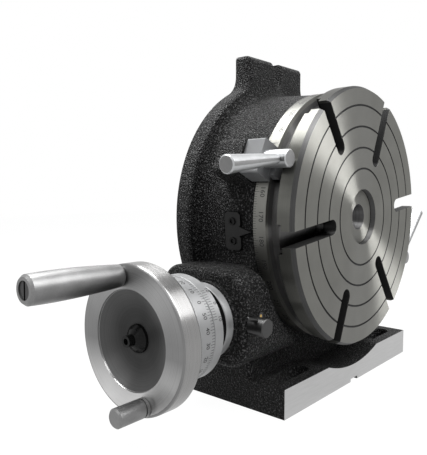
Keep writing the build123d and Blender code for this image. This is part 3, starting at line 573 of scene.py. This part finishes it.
def degreeRing():
    look = degreeScale
    low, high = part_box("degree_ring")
    radius = (high[0] - low[0]) / 2
    zero, step = math.radians(look["zeroAngle"]), 2 * math.pi / look["count"]
    values = {"Count": look["count"], "Step": step, "Start": zero, "Radius": radius, "Width": look["width"],
              "Depth": look["ink"], "Short": look["short"], "Middle": look["middle"], "Long": look["long"],
              "Middle Every": look["labelEvery"] // 2, "Long Every": look["labelEvery"],
              "Material": engraving}
    ticks = tickRing("degree_ticks", values, Matrix.Translation((0, high[1] - look["seam"], 0)))
    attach(ticks, "table")
    numbers = []
    for degrees in range(0, look["count"], look["labelEvery"]):
        wrap = aroundSpindle(radius, zero + degrees * step, high[1] - look["numberPlace"])
        numbers.append((numberMesh(str(degrees), look["numberHeight"]), wrap))
    figures = joined("degree_numbers", numbers)
    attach(figures, "table")


degreeRing()
print("degree ring done")


# Minute dial, which turns with the handwheel, and the vernier ring beside it

dialScale = {"labels": 24, "divisions": 5, "labelStep": 10, "labelWrap": 60, "zeroAngle": 38.9,
             "ink": 0.1 * mm, "width": 0.38 * mm, "short": 3.0 * mm, "long": 4.2 * mm, "seam": 0.4 * mm,
             "numberHeight": 3.7 * mm, "numberPlace": 7.6 * mm}
vernierScale = {"side": 6, "step": 2.75, "label": "10", "zeroAngle": 34.5,
                "ink": 0.1 * mm, "width": 0.36 * mm, "short": 4.0 * mm, "long": 4.0 * mm, "seam": 0.6 * mm,
                "numberHeight": 3.2 * mm, "numberPlace": 7.4 * mm}
wormTurn = Matrix(((0, 1, 0), (-1, 0, 0), (0, 0, 1))).to_4x4()  # the tick ring's axis laid along the worm


def wormTicks(name, body, look, along, radius, count, step, first, every):
    # ticks round the worm axis, running from the given place towards the handwheel
    values = {"Count": count, "Step": math.radians(step), "Start": math.radians(first), "Radius": radius,
              "Width": look["width"], "Depth": look["ink"], "Short": look["short"], "Middle": look["long"],
              "Long": look["long"], "Middle Every": every, "Long Every": every, "Material": engraving}
    place = Matrix.Translation((along, wormAxisY, wormAxisZ)) @ wormTurn
    ticks = tickRing(name, values, place)
    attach(ticks, body)


def wormNumbers(name, body, look, along, radius, words):
    numbers = [(numberMesh(text, look["numberHeight"]), aroundWorm(radius, math.radians(angle), along))
               for text, angle in words]
    figures = joined(name, numbers)
    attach(figures, body)


def minuteDial():
    look = dialScale
    low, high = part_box("dial_ring")
    radius = (high[1] - low[1]) / 2
    pitch = 360 / look["labels"]
    wormTicks("dial_ticks", "dial", look, high[0] - look["seam"], radius, look["labels"] * look["divisions"],
              pitch / look["divisions"], look["zeroAngle"], look["divisions"])
    words = [(str(look["labelStep"] * k % look["labelWrap"]), look["zeroAngle"] + k * pitch)
             for k in range(look["labels"])]
    wormNumbers("dial_numbers", "dial", look, high[0] - look["numberPlace"], radius, words)


def vernierRing():
    look = vernierScale
    low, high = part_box("vernier_ring")
    radius = (high[1] - low[1]) / 2
    reach = look["side"] * look["step"]
    wormTicks("vernier_ticks", "sleeve", look, low[0] + look["seam"] + look["long"], radius,
              2 * look["side"] + 1, look["step"], look["zeroAngle"] - reach, look["side"])
    words = [("0", look["zeroAngle"]), (look["label"], look["zeroAngle"] - reach),
             (look["label"], look["zeroAngle"] + reach)]
    wormNumbers("vernier_numbers", "sleeve", look, low[0] + look["numberPlace"], radius, words)


minuteDial()
vernierRing()
print("dial and vernier done")


# Floor, backdrop, lamps and camera

studio = {
    "floor": grey(0.86), "floorRough": 0.9, "floorSize": 3.0, "floorGap": 0.2 * mm, "glow": 0.96,
    "floorWhite": 1.02, "fill": 0.3, "fillColour": (0.9, 0.92, 0.95, 1.0), "white": (1.0, 1.0, 1.0, 1.0),
    "camera": (-0.49221, -0.23636, 0.02989), "azimuth": -48.8048, "elevation": 4.3816,
    "focal": 539.667, "longSide": 455, "nearest": 0.01,
}
# each lamp's place, aim, size and power
lamps = {
    "top": ((-0.1, 0.45, 1.1), (0, 0.05, 0), (0.8, 0.6), 30),
    "key": ((-0.35, -0.7, 1.3), (0, 0, 0), (0.8, 0.8), 14),
    "side": ((0.42, -0.91, 0.98), (0, 0, 0), (0.9, 0.9), 17),
    "left": ((-1.4, 0.3, 0.6), (0, 0, -0.05), (0.6, 1.0), 3),
}


def whiteRays(tree):
    # the camera, mirrors and glass see plain white
    path = tree.nodes.new("ShaderNodeLightPath")
    seen = path.outputs["Is Camera Ray"]
    for label in ("Is Glossy Ray", "Is Transmission Ray"):
        either = tree.nodes.new("ShaderNodeMath")
        either.operation = "MAXIMUM"
        feed(tree, seen, either.inputs[0])
        feed(tree, path.outputs[label], either.inputs[1])
        seen = either.outputs[0]
    return seen


def floorPiece():
    size = studio["floorSize"]
    z = cadBounds[0][2] - studio["floorGap"]
    mesh = bpy.data.meshes.new("floor")
    mesh.from_pydata([(-size, -size, z), (size, -size, z), (size, size, z), (-size, size, z)], [],
                     [(0, 1, 2, 3)])
    box = Paintbox("floor")
    box.set(Base_Color=studio["floor"], Roughness=studio["floorRough"])
    glow = box.add("Emission", {"Color": studio["white"], "Strength": studio["floorWhite"]}).outputs[0]
    amount = box.both(whiteRays(box.tree), studio["glow"])  # what is left over keeps a soft shadow
    mixed = box.add("MixShader", {0: amount, 1: box.shader.outputs[0], 2: glow}).outputs[0]
    box.tree.links.new(mixed, box.output.inputs["Surface"])
    mesh.materials.append(box.material)
    floor = shown("floor", mesh)


def skyLight():
    world = bpy.data.worlds.new("studio")
    bpy.context.scene.world = world
    world.use_nodes = True
    tree = world.node_tree
    mix = tree.nodes.new("ShaderNodeMixShader")
    white = tree.nodes.new("ShaderNodeBackground")
    fill = tree.nodes["Background"]
    for node, colour, strength in ((fill, studio["fillColour"], studio["fill"]),
                                   (white, studio["white"], 1.0)):
        feed(tree, colour, node.inputs["Color"])
        feed(tree, strength, node.inputs["Strength"])
    feed(tree, whiteRays(tree), mix.inputs[0])
    feed(tree, fill.outputs[0], mix.inputs[1])
    feed(tree, white.outputs[0], mix.inputs[2])
    feed(tree, mix.outputs[0], tree.nodes["World Output"].inputs["Surface"])


def lamp(name, place, aim, size, power):
    light = bpy.data.lights.new(name, "AREA")
    light.shape = "RECTANGLE"
    light.size, light.size_y = size
    light.energy = power
    holder = shown(name, light)
    holder.location = place
    holder.rotation_euler = (Vector(aim) - Vector(place)).to_track_quat("-Z", "Y").to_euler()


def viewCamera():
    camera = bpy.data.cameras.new("camera")
    camera.lens = camera.sensor_width * studio["focal"] / studio["longSide"]
    camera.clip_start = studio["nearest"]
    holder = shown("camera", camera)
    holder.location = studio["camera"]
    holder.rotation_euler = (math.radians(90 - studio["elevation"]), 0, math.radians(studio["azimuth"]))
    bpy.context.scene.camera = holder


floorPiece()
skyLight()
for name, setting in lamps.items():
    lamp(name, *setting)
viewCamera()
bpy.context.scene.view_settings.view_transform = "Standard"
print("studio ready")
